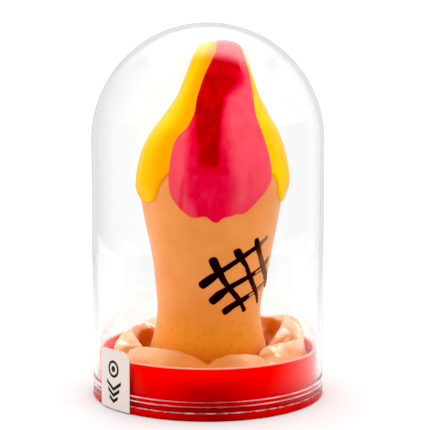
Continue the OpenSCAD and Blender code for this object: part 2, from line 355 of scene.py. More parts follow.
def latex(name, gloss, rough, sheen):
    """Thin peach latex: deeper in colour low down, with painted shade just above the folds; on the loose
    folds, paler, with painted shade in the hollows and pale crests that are partly thin stretched latex and
    partly painted highlight.
    """
    p = Paint(name, Coat_Roughness=0.16, Specular_IOR_Level=0.15, Sheen_Weight=sheen)
    p.shader.inputs["Sheen Tint"].default_value = (1, 0.8, 0.65, 1)
    p.glow(0.12, (1, 0.35, 0.12), 2.5)
    hollow_shade = p.stored("hollow_shade")
    mottle = p.between(p.noise(7, 4), 0.3, 0.72, 0, 0.5)
    height = p.axis("Z")
    on_skin = p.blend(mottle, (0.92, 0.32, 0.075), (0.84, 0.235, 0.03))
    on_skin = p.blend(p.between(height, 16, 36, 1, 0), on_skin, (0.87, 0.265, 0.006))
    # Painted shade just above the folds, where the figure meets them.
    on_skin = p.blend(p.between(height, 11, 19, 0.8, 0), on_skin, (0.66, 0.11, 0))
    stains = p.times(p.between(p.noise(1.4, 5), 0.5, 0.72, 0, 0.5), p.between(height, 14, 34, 1, 0.15))
    on_skin = p.blend(stains, on_skin, (0.62, 0.14, 0.005))
    on_fold = p.blend(mottle, (0.83, 0.36, 0.11), (0.8, 0.28, 0.05))
    # Pale crests, partly thin stretched latex and partly painted highlight; then painted shade in the
    # hollows.
    on_fold = p.blend(p.stored("crest"), on_fold, (0.97, 0.58, 0.34))
    on_fold = p.blend(hollow_shade, on_fold, (0.56, 0.1, 0))
    colour = p.blend(p.stored("fold"), on_skin, on_fold)
    speck = p.between(p.noise(0.5, 2), 0.62, 0.8, 0, 0.25)
    p.link(p.blend(speck, colour, (0.74, 0.2, 0.03)), "Base Color")
    p.rough(p.noise(5, 3), rough - 0.06, rough + 0.08)
    p.link(p.between(hollow_shade, 0, 0.6, gloss, 0), "Coat Weight")
    runs, grain = p.noise(2.4, 3, (1, 1, 0.12)), p.noise(0.35, 2)
    p.bump(p.math("ADD", p.times(runs, 0.7), p.times(grain, 0.12)), 0.07)
    return p.material


def yellow_paint():
    """Thick yellow paint, more orange where it thins towards the pink coat's edge."""
    p = Paint("yellow_paint", Coat_Weight=0.05, Coat_Roughness=0.1, Specular_IOR_Level=0.06)
    streak = p.between(p.noise(5, 4, (1, 1, 0.35)), 0.3, 0.75)
    share = p.math("MAXIMUM", p.stored("thin"), p.times(streak, 0.35))
    colour = p.ramp(share, (0, (1, 0.57, 0)), (0.5, (1, 0.46, 0)), (1, (0.98, 0.34, 0)))
    p.link(colour, "Base Color")
    p.rough(p.noise(4, 3), 0.24, 0.4)
    p.bump(p.noise(3.2, 3, (1, 1, 0.4)), 0.12)
    return p.material


def pink_paint():
    """Thick pink paint, with painted shade where the stake lies behind it: crimson and dark red."""
    p = Paint("pink_paint", Coat_Weight=0.05, Coat_Roughness=0.1, Specular_IOR_Level=0.12)
    uneven = p.between(p.noise(2.2, 4, (1, 1, 0.35)), 0.3, 0.7, -0.08, 0.05)
    pinks = (0, (0.93, 0.08, 0.12)), (0.3, (0.88, 0.03, 0.075)), (0.5, (0.83, 0, 0.046))
    reds = (0.8, (0.67, 0, 0.006)), (1, (0.42, 0, 0))
    colour = p.ramp(p.math("ADD", p.stored("dark"), uneven), *pinks, *reds)
    brushed = p.between(p.noise(3, 4, (1, 1, 0.25)), 0.35, 0.75, 0, 0.3)
    p.link(p.blend(brushed, colour, (0.9, 0.12, 0.14), "MULTIPLY"), "Base Color")
    p.rough(p.noise(3, 3), 0.26, 0.42)
    p.bump(p.noise(2.6, 3, (1, 1, 0.35)), 0.12)
    return p.material


def black_paint():
    """Brushed black paint, which goes brown where it is thin, and also under a painted veil of reflection
    towards the figure's right side.
    """
    p = Paint("black_paint", Specular_IOR_Level=0.1, Coat_Weight=0.06, Coat_Roughness=0.08)
    wear = p.between(p.noise(0.8, 3, (1, 1, 0.5)), 0.5, 0.8, 0, 0.22)
    browns = (0, (0.72, 0.26, 0.08)), (0.22, (0.34, 0.19, 0.11)), (0.45, (0.2, 0.09, 0.04))
    blacks = (0.7, (0.05, 0.006, 0.002)), (1, (0.016, 0, 0))
    p.link(p.ramp(p.math("SUBTRACT", p.stored("ink"), wear), *browns, *blacks), "Base Color")
    p.rough(p.noise(1.2, 2), 0.4, 0.6)
    p.bump(p.noise(0.9, 2), 0.06)
    return p.material


def label_paper():
    """Coated paper with a faint fibre texture."""
    p = Paint("label_paper")
    fibre = p.noise(0.4, 4, (1, 1, 0.5), 0.7)
    colour = p.blend(p.between(fibre, 0.3, 0.7), (0.74, 0.65, 0.6), (0.68, 0.59, 0.54))
    p.link(colour, "Base Color")
    p.rough(p.noise(1.5, 2), 0.5, 0.68)
    p.bump(fibre, 0.02)
    return p.material


def label_ink():
    """Printed black ink."""
    p = Paint("label_ink")
    worn = p.between(p.noise(0.3, 3), 0.4, 0.7)
    p.link(p.blend(worn, (0.006,) * 3, (0.02, 0.018, 0.016)), "Base Color")
    p.rough(p.noise(0.6, 2), 0.4, 0.6)
    return p.material


def wadding_fibre():
    """Loose white fibre."""
    p = Paint("wadding_fibre", Sheen_Weight=0.3)
    fibre = p.noise(0.6, 6, (1, 0.4, 1), 0.75)
    p.link(p.ramp(fibre, (0.3, (0.62, 0.6, 0.55)), (0.7, (0.9, 0.89, 0.86))), "Base Color")
    p.rough(fibre, 0.8, 1)
    p.bump(fibre, 0.4)
    return p.material


def stake_board():
    """Pressed fibreboard."""
    p = Paint("stake_board")
    fibre = p.noise(1.1, 6, (1, 1, 0.3), 0.7)
    p.link(p.ramp(fibre, (0.3, (0.2, 0.11, 0.055)), (0.7, (0.36, 0.22, 0.12))), "Base Color")
    p.rough(fibre, 0.6, 0.8)
    p.bump(fibre, 0.08)
    return p.material


def floor_white():
    """The pale floor that the object stands on, kept dark where the object would mirror it."""
    p = Paint("floor_white", Roughness=0.8, Specular_IOR_Level=0)
    mirrored = p.math("ADD", p.new("LightPath").outputs["Glossy Depth"], 0, clamp=True)
    in_front = p.between(p.axis("Y"), -60, 20, 1, 0)
    pale = p.blend(p.noise(60, 2), (0.64,) * 3, (0.62,) * 3)
    dark = p.times(mirrored, p.math("MAXIMUM", in_front, p.between(p.aside(), 50, 160, 0, 0.25)))
    p.link(p.blend(dark, pale, (0.02,) * 3), "Base Color")
    return p.material


# ---- The figure's skin ----
# Height, radius and sideways place of the figure's main sections: the CAD model's own
SECTIONS = [
    (FIGURE_BOTTOM, 15.5, 0), (26, 15.8, 0.2), (38, 17.1, 0.6), (50, 19.4, 0.8), (58, 21, 1),
    (64.5, 23.2, 1.6), (72, 22.2, 1.7), (79.5, 19.4, 2), (86, 15.3, 2.7), (92, 11.8, 3.2),
    (98.5, 9.4, 3.4), (104, 7.4, 3.6), (TIP_Z - 1, 5, 3.8), (TIP_Z, 0, 3.9),
]
SKIN_ROWS = 261
PROFILE = spline(SECTIONS, SKIN_ROWS)
PROFILE[:, 1] = np.maximum(PROFILE[:, 1], 0)


def profile_normals():
    """Unit normals of the profile, as (up, outwards)."""
    run = np.gradient(PROFILE[:, :2], axis=0)
    run /= np.linalg.norm(run, axis=1)[:, None]
    normals = np.stack([-run[:, 1], run[:, 0]], axis=1)
    normals[-1] = (1, 0)
    return normals


NORMAL = profile_normals()


def row_at(z):
    """Place up the profile, counted in rows, at a height."""
    return np.interp(z, PROFILE[:, 0], np.arange(SKIN_ROWS))


# How far the membrane stands off the figure as it flares into its folds, at heights
FLARE = [
    (4, 2.9), (12.6, 2.8), (14.4, 2.35), (16.5, 1.75), (19, 1.1), (22, 0.52), (25, 0.16), (28, 0), (31, 0),
]


def skin(angle, row, lift):
    """Points on the figure's skin, lifted off it along its normal."""
    rows = np.arange(SKIN_ROWS)
    z, r, x0 = (np.interp(row, rows, PROFILE[:, k]) for k in range(3))
    up, out = (np.interp(row, rows, NORMAL[:, k]) for k in range(2))
    a = np.radians(angle)
    waves = 0.12 * np.sin(3 * a + 0.09 * z) + 0.1 * np.sin(5 * a - 0.17 * z + 1)
    waves = waves + 0.07 * np.sin(2 * a + 0.31 * z)
    fuller = 0.45 + 0.2 * np.sin(a)
    lift = lift + waves * plateau(z, 20, 40, 95, 106) + fuller * plateau(z, 22, 36, 54, 63)
    lift = lift + through(z, FLARE)
    r, z = np.maximum(r + lift * out, 0), z + lift * up
    return np.stack([x0 + r * np.sin(a), -r * np.cos(a), z], axis=-1)


def add_sheath():
    """The latex wall: its outside, its tip and its inside, open at the bottom."""
    sides, wall = 240, 0.6
    angles = np.arange(sides)[None] * 360 / sides
    rows = np.append(np.arange(SKIN_ROWS - 1), SKIN_ROWS - 1.3)
    inner_rows = np.append(rows[:-1:4], rows[-1])
    outer = skin(angles, rows[:, None], 0).reshape(-1, 3)
    inner = skin(angles, inner_rows[:, None], -wall).reshape(-1, 3)
    first, end = len(outer), len(outer) + len(inner)
    faces = grid_faces(len(rows), sides, round_trip=True)
    faces += grid_faces(len(inner_rows), sides, first, flip=True, round_trip=True)
    faces += fan(end, first - sides, sides) + fan(end + 1, end - sides, sides, flip=True)
    faces += [[(k + 1) % sides, k, first + k, first + (k + 1) % sides] for k in range(sides)]
    tips = np.array([(PROFILE[-1, 2], 0, TIP_Z), (PROFILE[-1, 2], 0, TIP_Z - wall)])
    return add_mesh("latex_sheath_skin", np.concatenate([outer, inner, tips]), faces)


# ---- Coats of paint ----
# Height and angle of the pink coat's left and right edges
PINK_LEFT = [
    (54, -27), (57, -27.5), (60, -30), (63, -32.5), (67, -33.5), (70, -33.7), (74, -34.3), (77, -33.8),
    (79, -31.3), (80.5, -27), (83, -24.8), (86, -25), (89, -27.5), (93, -28), (97, -24), (101, -16),
    (104, -9), (107, -9), (108, -9),
]
PINK_RIGHT = [
    (54, 36), (57, 36), (60.4, 38.5), (63.3, 41.5), (66, 45), (69, 46.7), (73, 47.4), (77, 46.3),
    (81, 45.5), (85, 46.2), (88, 50.6), (92, 59), (95, 62.5), (99, 64), (103, 65), (108, 66),
]
# Share of the way from the left edge to the right one, and height of the pink coat's lower edge
PINK_FOOT = [
    (0, 63), (0.02, 60), (0.05, 58.2), (0.1, 56.9), (0.16, 55.8), (0.24, 55.4), (0.33, 55.7),
    (0.39, 55.5), (0.43, 54.6), (0.48, 54), (0.53, 54.1), (0.57, 55), (0.62, 55.5), (0.7, 55.9),
    (0.77, 56.5), (0.84, 56.5), (0.9, 57.4), (0.95, 59.2), (0.98, 61), (1, 63.5),
]
# Share of the way round the back from right to left, and height of the yellow coat's lower edge
YELLOW_FOOT = [
    (0, 69), (0.03, 66.5), (0.06, 63), (0.09, 60.7), (0.13, 59), (0.17, 59.6), (0.23, 62.5), (0.3, 67),
    (0.35, 66.5), (0.41, 62), (0.47, 58.3), (0.52, 57.2), (0.57, 58.8), (0.63, 63.5), (0.7, 67.3),
    (0.76, 65), (0.81, 61.6), (0.86, 59.2), (0.89, 59.2), (0.93, 60.7), (0.955, 64), (0.975, 66.8), (1, 69),
]


def coat_skins(angle, row, thick):
    """Outer and inner points of a coat, which stands just clear of the latex."""
    outer, inner = 0.03 + thick, 0.01 + 0 * thick
    return np.concatenate([skin(angle, row, lift).reshape(-1, 3) for lift in (outer, inner)])


def coat_points(foot, left, right, rows, cols):
    """Angles and profile rows of a coat's grid, and each point's distance to its free edges."""
    across, up = eased(cols), eased(rows, 0.5)
    start = row_at(through(across, foot))
    row = start[None] + (SKIN_ROWS - 1.15 - start[None]) * up[:, None]
    z = np.interp(row, np.arange(SKIN_ROWS), PROFILE[:, 0])
    a, b = through(z, left), through(z, right)
    angle = a + (b - a) * across[None]
    flat = skin(angle, row, 0)
    low = z[:, 0] < 104
    edge = np.concatenate([flat[0], flat[low, 0], flat[low, -1]])
    points = flat.reshape(-1, 3)
    gap = np.full(len(points), np.inf)
    for some in np.array_split(edge, 12):
        gap = np.minimum(gap, np.linalg.norm(points[:, None] - some[None], axis=2).min(axis=1))
    return angle, row, z, gap.reshape(rows, cols)


def add_coat(name, foot, left, right, rows, cols, thick):
    """A raised coat with a rolled edge, thicker along its lower edge where the paint has run."""
    roll = 0.9
    angle, row, z, gap = coat_points(foot, left, right, rows, cols)
    round_edge = np.sqrt(1 - (1 - np.clip(gap / roll, 0, 1)) ** 2)
    run = 1 + 0.6 * np.exp(-((gap - 1.2) / 1.3) ** 2) * smooth_step(z, 78, 66)
    points = coat_skins(angle, row, thick * round_edge * run)
    return add_mesh(name, points, patch_faces(rows, cols), 80), angle, z


def inside(angle, z, outline, soft):
    """1 well inside an outline of (angle, height) points and 0 outside it, over a soft edge in mm."""
    mm_per_degree = 0.3
    flat = np.stack([angle * mm_per_degree, z], axis=-1).reshape(-1, 2)
    ring = np.array([(a * mm_per_degree, h) for a, h in outline])
    gap, odd = np.full(len(flat), np.inf), np.zeros(len(flat), bool)
    for (x0, y0), (x1, y1) in zip(ring, np.roll(ring, -1, axis=0)):
        step = np.array([x1 - x0, y1 - y0])
        t = np.clip(((flat - (x0, y0)) @ step) / (step @ step), 0, 1)
        gap = np.minimum(gap, np.linalg.norm(flat - (x0, y0) - t[:, None] * step, axis=1))
        crosses = (y0 > flat[:, 1]) != (y1 > flat[:, 1])
        odd ^= crosses & (flat[:, 0] < x0 + (flat[:, 1] - y0) * (x1 - x0) / (y1 - y0 + 1e-9))
    return smooth_step(np.where(odd, gap, -gap), -soft, soft).reshape(z.shape)


def marked(base, angle, z, marks):
    """base, raised to each mark's share inside the mark's outline."""
    for outline, soft, share in marks:
        base = np.maximum(base, share * inside(angle, z, outline, soft))
    return base


# Painted shade of the stake behind the pink coat, as outlines of (angle, height): the dark part, its head and
# its foot, then the crimson part round them and a streak beside it
STAKE_DARK = [
    (-60, 97.4), (-60, 90), (-27, 88), (-18, 80), (-14, 76), (-12.5, 70.8), (-10, 69), (4.5, 69), (6, 70.8),
    (6, 76), (6.5, 84), (9, 89.5), (22, 92.6), (32, 94.6), (34, 96), (31, 97.4),
]
STAKE_HEAD = [(-60, 97), (-10, 95), (30, 96), (40, 98), (36, 101), (-60, 103)]
STAKE_FOOT = [(-17, 69.6), (-12, 71), (8, 71), (12, 69.6), (12, 68), (8, 67), (-12, 67), (-17, 68)]
STAKE_CRIMSON = [
    (-60, 102.5), (-60, 86), (-30, 83), (-22, 79), (-20, 70), (-19, 62), (-14, 58), (-8, 50), (16, 50),
    (17, 58), (15, 66), (12, 74), (10, 86), (14, 89.6), (40, 93.5), (46, 96), (38, 100.5), (20, 102.5),
]
SIDE_STREAK = [(-22, 67), (-19, 67), (-21, 60), (-22, 54), (-27, 54), (-25, 60)]


def add_pink():
    piece, angle, z = add_coat("pink_coat_paint", PINK_FOOT, PINK_LEFT, PINK_RIGHT, 190, 130, 0.45)
    level = 1 - 0.1 * smooth_step(z, 84, 92) - 0.08 * smooth_step(z, 73, 69)
    parts = [
        (STAKE_CRIMSON, 1.7, 0.5), (SIDE_STREAK, 0.7, 0.44), (STAKE_HEAD, 1.3, 0.82), (STAKE_FOOT, 1.3, 0.7),
        (STAKE_DARK, 1.3, level),
    ]
    # Painted shade of the stake seen through the coat, over a little darkening towards the coat's lower edge.
    dark = marked(0.2 * smooth_step(z, 64, 56), angle, z, parts)
    store(piece, "dark", np.tile(dark.ravel(), 2))
    return piece


def add_yellow():
    under = 4
    left = [(h, a - under) for h, a in PINK_RIGHT]
    right = [(h, 360 + a + under) for h, a in PINK_LEFT]
    piece, angle, z = add_coat("yellow_coat_paint", YELLOW_FOOT, left, right, 130, 300, 0.32)
    from_pink = 360 + through(z, PINK_LEFT) - angle
    thin = 1 - smooth_step(from_pink, under, 34)
    store(piece, "thin", np.tile(thin.ravel(), 2))
    return piece


# ---- Painted grid ----
# Each stroke: its points (angle, height), then its width in mm and its share of ink at places from 0 to 1.
# Less ink turns it brown: partly thin paint, and towards the figure's right side partly a painted veil of
# reflection.
STROKES = [
    ([(-9.5, 34.9), (0, 37.1), (10, 39.4), (26, 42.7), (38, 45.1), (46, 46.4), (52, 47.6), (59, 49.2)],
     [(0, 2), (0.1, 2.5), (0.3, 1.7), (0.6, 1.6), (0.8, 1.6), (1, 1.1)],
     [(0, 1), (0.72, 0.9), (0.8, 0.45), (1, 0.3)]),
    ([(1.5, 30), (11, 32.5), (21, 34.6), (32, 36.2), (43, 37.6), (56, 39.2), (64, 40.6), (71, 42.6)],
     [(0, 2.2), (0.1, 2.7), (0.3, 1.8), (0.6, 1.6), (0.85, 1.7), (1, 0.8)],
     [(0, 1), (0.6, 0.9), (0.85, 0.45), (1, 0.3)]),
    ([(15, 26.8), (25.5, 28.8), (38, 30.4), (50, 32), (61, 33.2), (70, 34.4), (79, 35.6)],
     [(0, 1.9), (0.12, 2.2), (0.4, 1.6), (0.7, 1.5), (1, 1.2)],
     [(0, 1), (0.5, 0.9), (0.7, 0.5), (1, 0.3)]),
    ([(1.5, 43.8), (5.5, 41), (10.5, 38.4), (15, 36.2), (21.5, 34), (28, 32), (34, 30.3), (38, 28.6),
      (42, 26.8)],
     [(0, 2.4), (0.08, 2.8), (0.3, 1.8), (0.6, 1.6), (0.85, 1.4), (1, 1.6)],
     [(0, 1), (1, 0.9)]),
    ([(23.5, 46.2), (26, 44.6), (31.5, 42.4), (36.3, 40.7), (40.6, 38.4), (46, 36), (52, 33.7),
      (59, 31.2), (64.5, 28.4)],
     [(0, 2.3), (0.09, 2.6), (0.25, 1.6), (0.5, 1.6), (0.8, 1.7), (1, 0.8)],
     [(0, 1), (0.6, 0.85), (1, 0.6)]),
    ([(43, 49.1), (45, 47.4), (49.5, 45), (54.5, 42.6), (60.5, 40.2), (66, 38.4), (71.5, 36.6),
      (78, 34.8), (84, 33)],
     [(0, 1.5), (0.12, 2), (0.3, 2), (0.6, 2.6), (1, 3)],
     [(0, 1), (0.15, 0.85), (0.3, 0.6), (0.6, 0.5), (1, 0.35)]),
]
# Strokes whose brush has left two thin lines: the stroke, and where along it they start and end
SPLITS = [(1, 0.62, 0.84), (2, 0.42, 0.9), (0, 0.74, 0.79)]


def stroke_grid(number, course, widths, ink_at, along, across):
    """A stroke's angles, heights, share of its full thickness and share of ink, over its length and width."""
    line = spline(course, along)
    radius = np.interp(line[:, 1], PROFILE[:, 0], PROFILE[:, 1])
    mm_per_degree = radius * math.pi / 180
    flat = np.stack([line[:, 0] * mm_per_degree, line[:, 1]], axis=1)
    run = np.gradient(flat, axis=0)
    run /= np.linalg.norm(run, axis=1)[:, None]
    side = np.stack([-run[:, 1], run[:, 0]], axis=1)
    t, w = np.linspace(0, 1, along), np.linspace(-1, 1, across)
    half = through(t, widths) / 2
    to_end = np.minimum(t, 1 - t) * np.linalg.norm(np.diff(flat, axis=0), axis=1).sum()
    half = half * np.sqrt(1 - (1 - np.clip(to_end / half, 0, 1)) ** 2) + 0.01
    half *= 1 + 0.05 * np.sin(17 * t + number) + 0.04 * np.sin(41 * t + 2 * number)
    place = flat[:, None] + side[:, None] * (half[:, None] * w[None])[..., None]
    crown = np.sqrt(np.maximum(1 - w**2, 0))[None] * np.clip(half / 0.8, 0, 1)[:, None]
    ink = through(t, ink_at)[:, None] + 0 * w[None]
    for split, start, end in SPLITS:
        if split == number:
            bare = plateau(t, start, start + 0.03, end - 0.03, end)[:, None]
            bare = bare * (1 - smooth_step(np.abs(w), 0.45, 0.6))[None]
            ink = ink * (1 - bare)
            crown = crown * (1 - 0.8 * bare)
    return place[..., 0] / mm_per_degree[:, None], place[..., 1], crown, ink


def add_grid():
    """Six raised strokes with round ends."""
    along, across, thick = 90, 15, 0.28
    points, faces, inks = [], [], []
    for number, stroke in enumerate(STROKES):
        angle, z, crown, ink = stroke_grid(number, *stroke, along, across)
        points.append(coat_skins(angle, row_at(z), thick * crown))
        first = number * len(points[0])
        faces += [[first + v for v in face[::-1]] for face in patch_faces(along, across)]
        inks.append(np.tile(ink.ravel(), 2))
    piece = add_mesh("grid_lines_paint", np.concatenate(points), faces, 80)
    store(piece, "ink", np.concatenate(inks))
    return piece


# ---- The gathered hem ----
# Lines on the folds, as (angle, distance from the axis, height): crests, then the creases between them
HEM_CRESTS = [
    [(-61, 26.5, 15.6), (-52, 25.5, 16.9), (-38, 25, 17.6), (-25, 24, 17.4), (-13, 22.5, 15.9),
     (-7, 21, 14.6)],
    [(5, 22, 14.4), (12, 23.5, 15.8), (22, 24.5, 16.4), (32, 25, 15.8), (38, 25, 14.8)],
    [(54, 18.5, 14.2), (62, 19.5, 15.6), (70, 23.4, 16.4), (78, 27, 16.6), (85, 29.2, 16.3), (90, 29.4, 16.1),
     (96, 28.2, 16.9), (104, 25.4, 17.7)],
    [(95, 18.5, 14.6), (101, 21.5, 16.7), (110, 25, 18.8), (118, 28.2, 20.4), (124, 30, 20.8)],
    [(95, 29.3, 17.2), (103, 29.4, 19), (113, 29.2, 20.4)],
    [(99, 30.6, 17.6), (104, 30.9, 19.6), (114, 31, 21.1), (124, 30, 20.8), (132, 28, 20), (142, 26.5, 20.2),
     (153, 24.5, 20)],
    [(172, 23, 19.5), (186, 24.5, 20.6), (200, 23, 19.6)],
    [(214, 25, 19.2), (224, 26, 19.4), (234, 25, 19.2), (246, 24.2, 19.2), (258, 24.3, 19.4),
     (264, 24.2, 19.2), (273, 22.8, 17.6), (281, 21.6, 16.2), (288, 20.4, 14.8)],
    [(264, 24.2, 19.2), (272, 26.6, 18), (280, 28.2, 16.9), (288, 29.2, 15.6)],
]
HEM_CREASES = [
    [(294, 31.7, 9), (295, 28.5, 12.2), (293, 25, 13), (292, 21, 12.4), (290, 17, 11.4)],
    [(-2, 31.7, 11), (-1, 28, 12.8), (-1, 24, 13.4), (1, 20, 12.8), (3, 16.4, 12)],
    [(46, 31.7, 11.6), (42, 28.5, 13.6), (41, 25, 13.6), (45, 21, 12.6), (49, 17.5, 11.2)],
    [(80, 18.8, 11.6), (85, 21, 12.8), (88, 23.5, 13.8), (92, 26, 14.9)],
    [(96, 18.8, 10.5), (106, 19.6, 10.5), (115, 21.5, 11.5), (123, 24.5, 14.2)],
    [(100, 30, 16.8), (108, 30.2, 18.7), (117, 30.1, 19.6)],
    [(64, 31.2, 10.5), (74, 30.8, 10.5), (84, 31, 10.5), (92, 31.2, 10.5), (99, 31.3, 11.5)],
    [(226, 28.6, 11.5), (240, 27.6, 10.5), (256, 27, 10.5), (268, 28.6, 10.5), (280, 30.4, 10.5),
     (289, 31.3, 10)],
    [(160, 31.7, 11), (162, 26, 15), (163, 20, 16), (164, 16.4, 16)],
    [(207, 31.7, 11), (207, 26, 14.5), (208, 20, 15.5), (208, 16.4, 16)],
    [(280, 18.9, 10), (270, 19.5, 10), (259, 20.3, 11.2), (248, 20.8, 13.4)],
]
# Deep hollows, given painted shade: an outline of (angle, distance), how soft it is and how dark
HEM_SHADED_HOLLOWS = [
    ([(93, 18), (96, 20.6), (103, 22.6), (111, 25.2), (119, 27.3), (128, 27.5), (138, 25.8), (152, 23.8),
      (152, 18)],
     0.6, 0.95),
    ([(80, 19), (84, 22), (89, 25.5), (93, 28), (99, 26.5), (97, 23), (92, 20.5), (88, 18.5)], 0.8, 0.4),
    ([(285, 18), (278, 20.2), (268, 21.4), (262, 22.6), (256, 22.8), (248, 23), (238, 21.6), (236, 18)],
     0.5, 1),
    ([(298, 31), (291, 29), (286.5, 26.5), (286, 23.5), (289, 20), (298, 20)], 0.8, 0.4),
    ([(-26, 16), (-26, 36), (23.5, 36), (23.5, 16)], 2.6, 0.5),
]
# Painted highlights, given the same way: on the thin outer flap, then on the tops of the left and the right
# folds
HEM_HIGHLIGHTS = [
    ([(94, 29.9), (100, 29.6), (112, 29.4), (124, 29), (134, 27.4), (138, 33), (92, 33)], 0.6, 1),
    ([(-66, 23), (-56, 22), (-42, 22.5), (-34, 24.5), (-36, 28), (-50, 29), (-66, 29)], 1.5, 0.7),
    ([(54, 19.5), (64, 19.8), (76, 22.5), (84, 26), (78, 28), (66, 25), (56, 22.5)], 1, 0.6),
]
# Height where the folds meet the figure, and where they meet the collar, against the angle
HEM_AT_NECK = [
    (-70, 10.8), (-40, 12), (0, 12), (30, 11.6), (56, 11), (78, 12), (90, 12.4), (100, 10.4), (120, 12.5),
    (140, 17), (164, 16), (186, 18), (208, 16), (230, 17), (250, 13), (268, 10), (282, 10), (290, 10.8),
]
HEM_AT_WALL = [
    (-66, 9), (-30, 12), (-2, 11), (22, 12), (46, 11), (70, 9.5), (92, 10), (101, 11), (108, 16), (114, 18),
    (128, 15), (160, 11), (186, 13), (207, 11), (235, 9.5), (270, 9.5), (284, 9.5), (294, 9),
]
# The folds' grid reaches from HEM_IN to HEM_OUT, and their underside down to HEM_FLOOR
HEM_IN = 18
HEM_OUT = box_mm("gathered_hem")[1][0] - 0.1
HEM_FLOOR = box_mm("gathered_hem")[0][2]


def hem_start(angle, r):
    """Heights over the grid of angles and distances, and which of them the crests and creases hold."""
    sides, depth = len(angle), len(r)
    near, far = (np.interp(angle, *zip(*points), period=360) for points in (HEM_AT_NECK, HEM_AT_WALL))
    z = near[:, None] + (far - near)[:, None] * np.linspace(0, 1, depth)[None]
    held = np.zeros(z.shape, bool)
    held[:, 0] = held[:, -1] = True
    for line in HEM_CRESTS + HEM_CREASES:
        path = spline(line, 400)
        i = np.round((path[:, 0] - angle[0]) / 360 * sides).astype(int) % sides
        k = np.round((path[:, 1] - HEM_IN) / (HEM_OUT - HEM_IN) * (depth - 1)).astype(int)
        k = np.clip(k, 0, depth - 1)
        z[i, k] = path[:, 2]
        held[i, k] = True
    return z, held


def relax(z, reach=1):
    """One step of smoothing: across the folds, then round them."""
    z[:, 1:-1] += 0.25 * (z[:, 2:] + z[:, :-2] - 2 * z[:, 1:-1])
    z += 0.25 * (np.roll(z, reach, 0) + np.roll(z, -reach, 0) - 2 * z)


def hem_heights(angle, r):
    """A stretched skin's height over the grid, with a little air under it."""
    puff, steps = 0.04, 2600
    z, held = hem_start(angle, r)
    step, turn = r[1] - r[0], np.radians(360 / len(angle))
    round_weight = (1 / (r * turn) ** 2)[None, 1:-1]
    out_weight, slope = 1 / step**2, (1 / (2 * step * r))[None, 1:-1]
    total, free = 2 * round_weight + 2 * out_weight, ~held[:, 1:-1]
    for _ in range(steps):
        round_part = round_weight * (np.roll(z, 1, 0) + np.roll(z, -1, 0))[:, 1:-1]
        out_part = out_weight * (z[:, 2:] + z[:, :-2]) + slope * (z[:, 2:] - z[:, :-2])
        z[:, 1:-1] = np.where(free, (round_part + out_part + puff) / total, z[:, 1:-1])
    relax(z)
    relax(z)
    return z


def hem_shades(aa, rr, z):
    """Painted shade in the hollows, and paleness on the raised parts that is partly thin stretched latex and
    partly painted highlight, from how each point lies against the skin round it, plus the listed parts.
    """
    wide = z.copy()
    for _ in range(160):
        relax(wide, 2)
    hollow_shade = smooth_step(wide - z, 0.1, 2)
    # Painted shade along the foot of the figure, where the folds meet it.
    hollow_shade = np.maximum(hollow_shade, 0.7 * smooth_step(rr, HEM_IN + 1.3, HEM_IN + 0.3))
    # The raised parts go pale, less so at the front: partly thin stretched latex, partly painted highlight.
    crest = smooth_step(z - wide, 0.1, 1.4) * (0.25 + 0.75 * smooth_step(-rr * np.cos(aa), -21, -13))
    turned = np.degrees(aa)
    signed = np.where(turned > 180, turned - 360, turned)
    turned = np.where(turned < -62, turned + 360, turned)
    return marked(hollow_shade, turned, rr, HEM_SHADED_HOLLOWS), marked(crest, signed, rr, HEM_HIGHLIGHTS)


def add_hem():
    """The latex's loose end, in soft folds from the figure's foot out to the collar."""
    sides, depth = 480, 49
    angle, r = -90 + np.arange(sides) * 360 / sides, np.linspace(HEM_IN, HEM_OUT, depth)
    z = hem_heights(angle, r)
    a = np.radians(angle)
    aa, rr = a[:, None] + 0 * r[None], r[None] + 0 * a[:, None]
    fine = 0.1 * np.sin(23 * aa + 0.5 * rr + 2 * np.sin(5 * aa))
    fine = fine + 0.07 * np.sin(41 * aa - 0.4 * rr + np.sin(9 * aa))
    z = z + fine * smooth_step(np.minimum(rr - HEM_IN, HEM_OUT - rr), 0, 3)
    hollow_shade, crest = hem_shades(aa, rr, z)
    rings = [(HEM_OUT, HEM_FLOOR + 2), (HEM_OUT - 2, HEM_FLOOR), (HEM_IN, HEM_FLOOR)]
    under = np.array([around(a, q, h) for q, h in rings])
    points = np.concatenate([around(aa, rr, z).transpose(1, 0, 2), under])
    faces = grid_faces(len(points), sides, flip=True, round_trip=True)
    last = (len(points) - 1) * sides
    faces += [[k, (k + 1) % sides, last + (k + 1) % sides, last + k] for k in range(sides)]
    piece = add_mesh("gathered_hem_folds", points.reshape(-1, 3), faces, 180)
    fold = smooth_step(rr, HEM_IN, HEM_IN + 1.6)
    for name, values, below in (("fold", fold, 1), ("hollow_shade", hollow_shade, 0), ("crest", crest, 0)):
        store(piece, name, np.concatenate([values.T, np.full((len(rings), sides), below)]))
    return piece


def add_bead():
    """The latex's rolled rim, lying a little wavy under the folds."""
    low, high = box_mm("rolled_bead")
    section = (high[2] - low[2]) / 2
    ring = high[0] - section
    turns, sides = 240, 20
    a = np.radians(np.arange(turns + 1) % turns * 360 / turns)[:, None]
    b = np.radians(np.arange(sides) * 360 / sides)[None]
    thick = section * (0.93 + 0.05 * np.sin(7 * a) + 0.02 * np.sin(19 * a))
    points = around(a, ring + thick * np.cos(b), low[2] + section + thick * np.sin(b))
    faces = grid_faces(turns + 1, sides, flip=True, round_trip=True)
    faces = [[v % (turns * sides) for v in face] for face in faces]
    return add_mesh("rolled_bead_rim", points[:-1].reshape(-1, 3), faces)


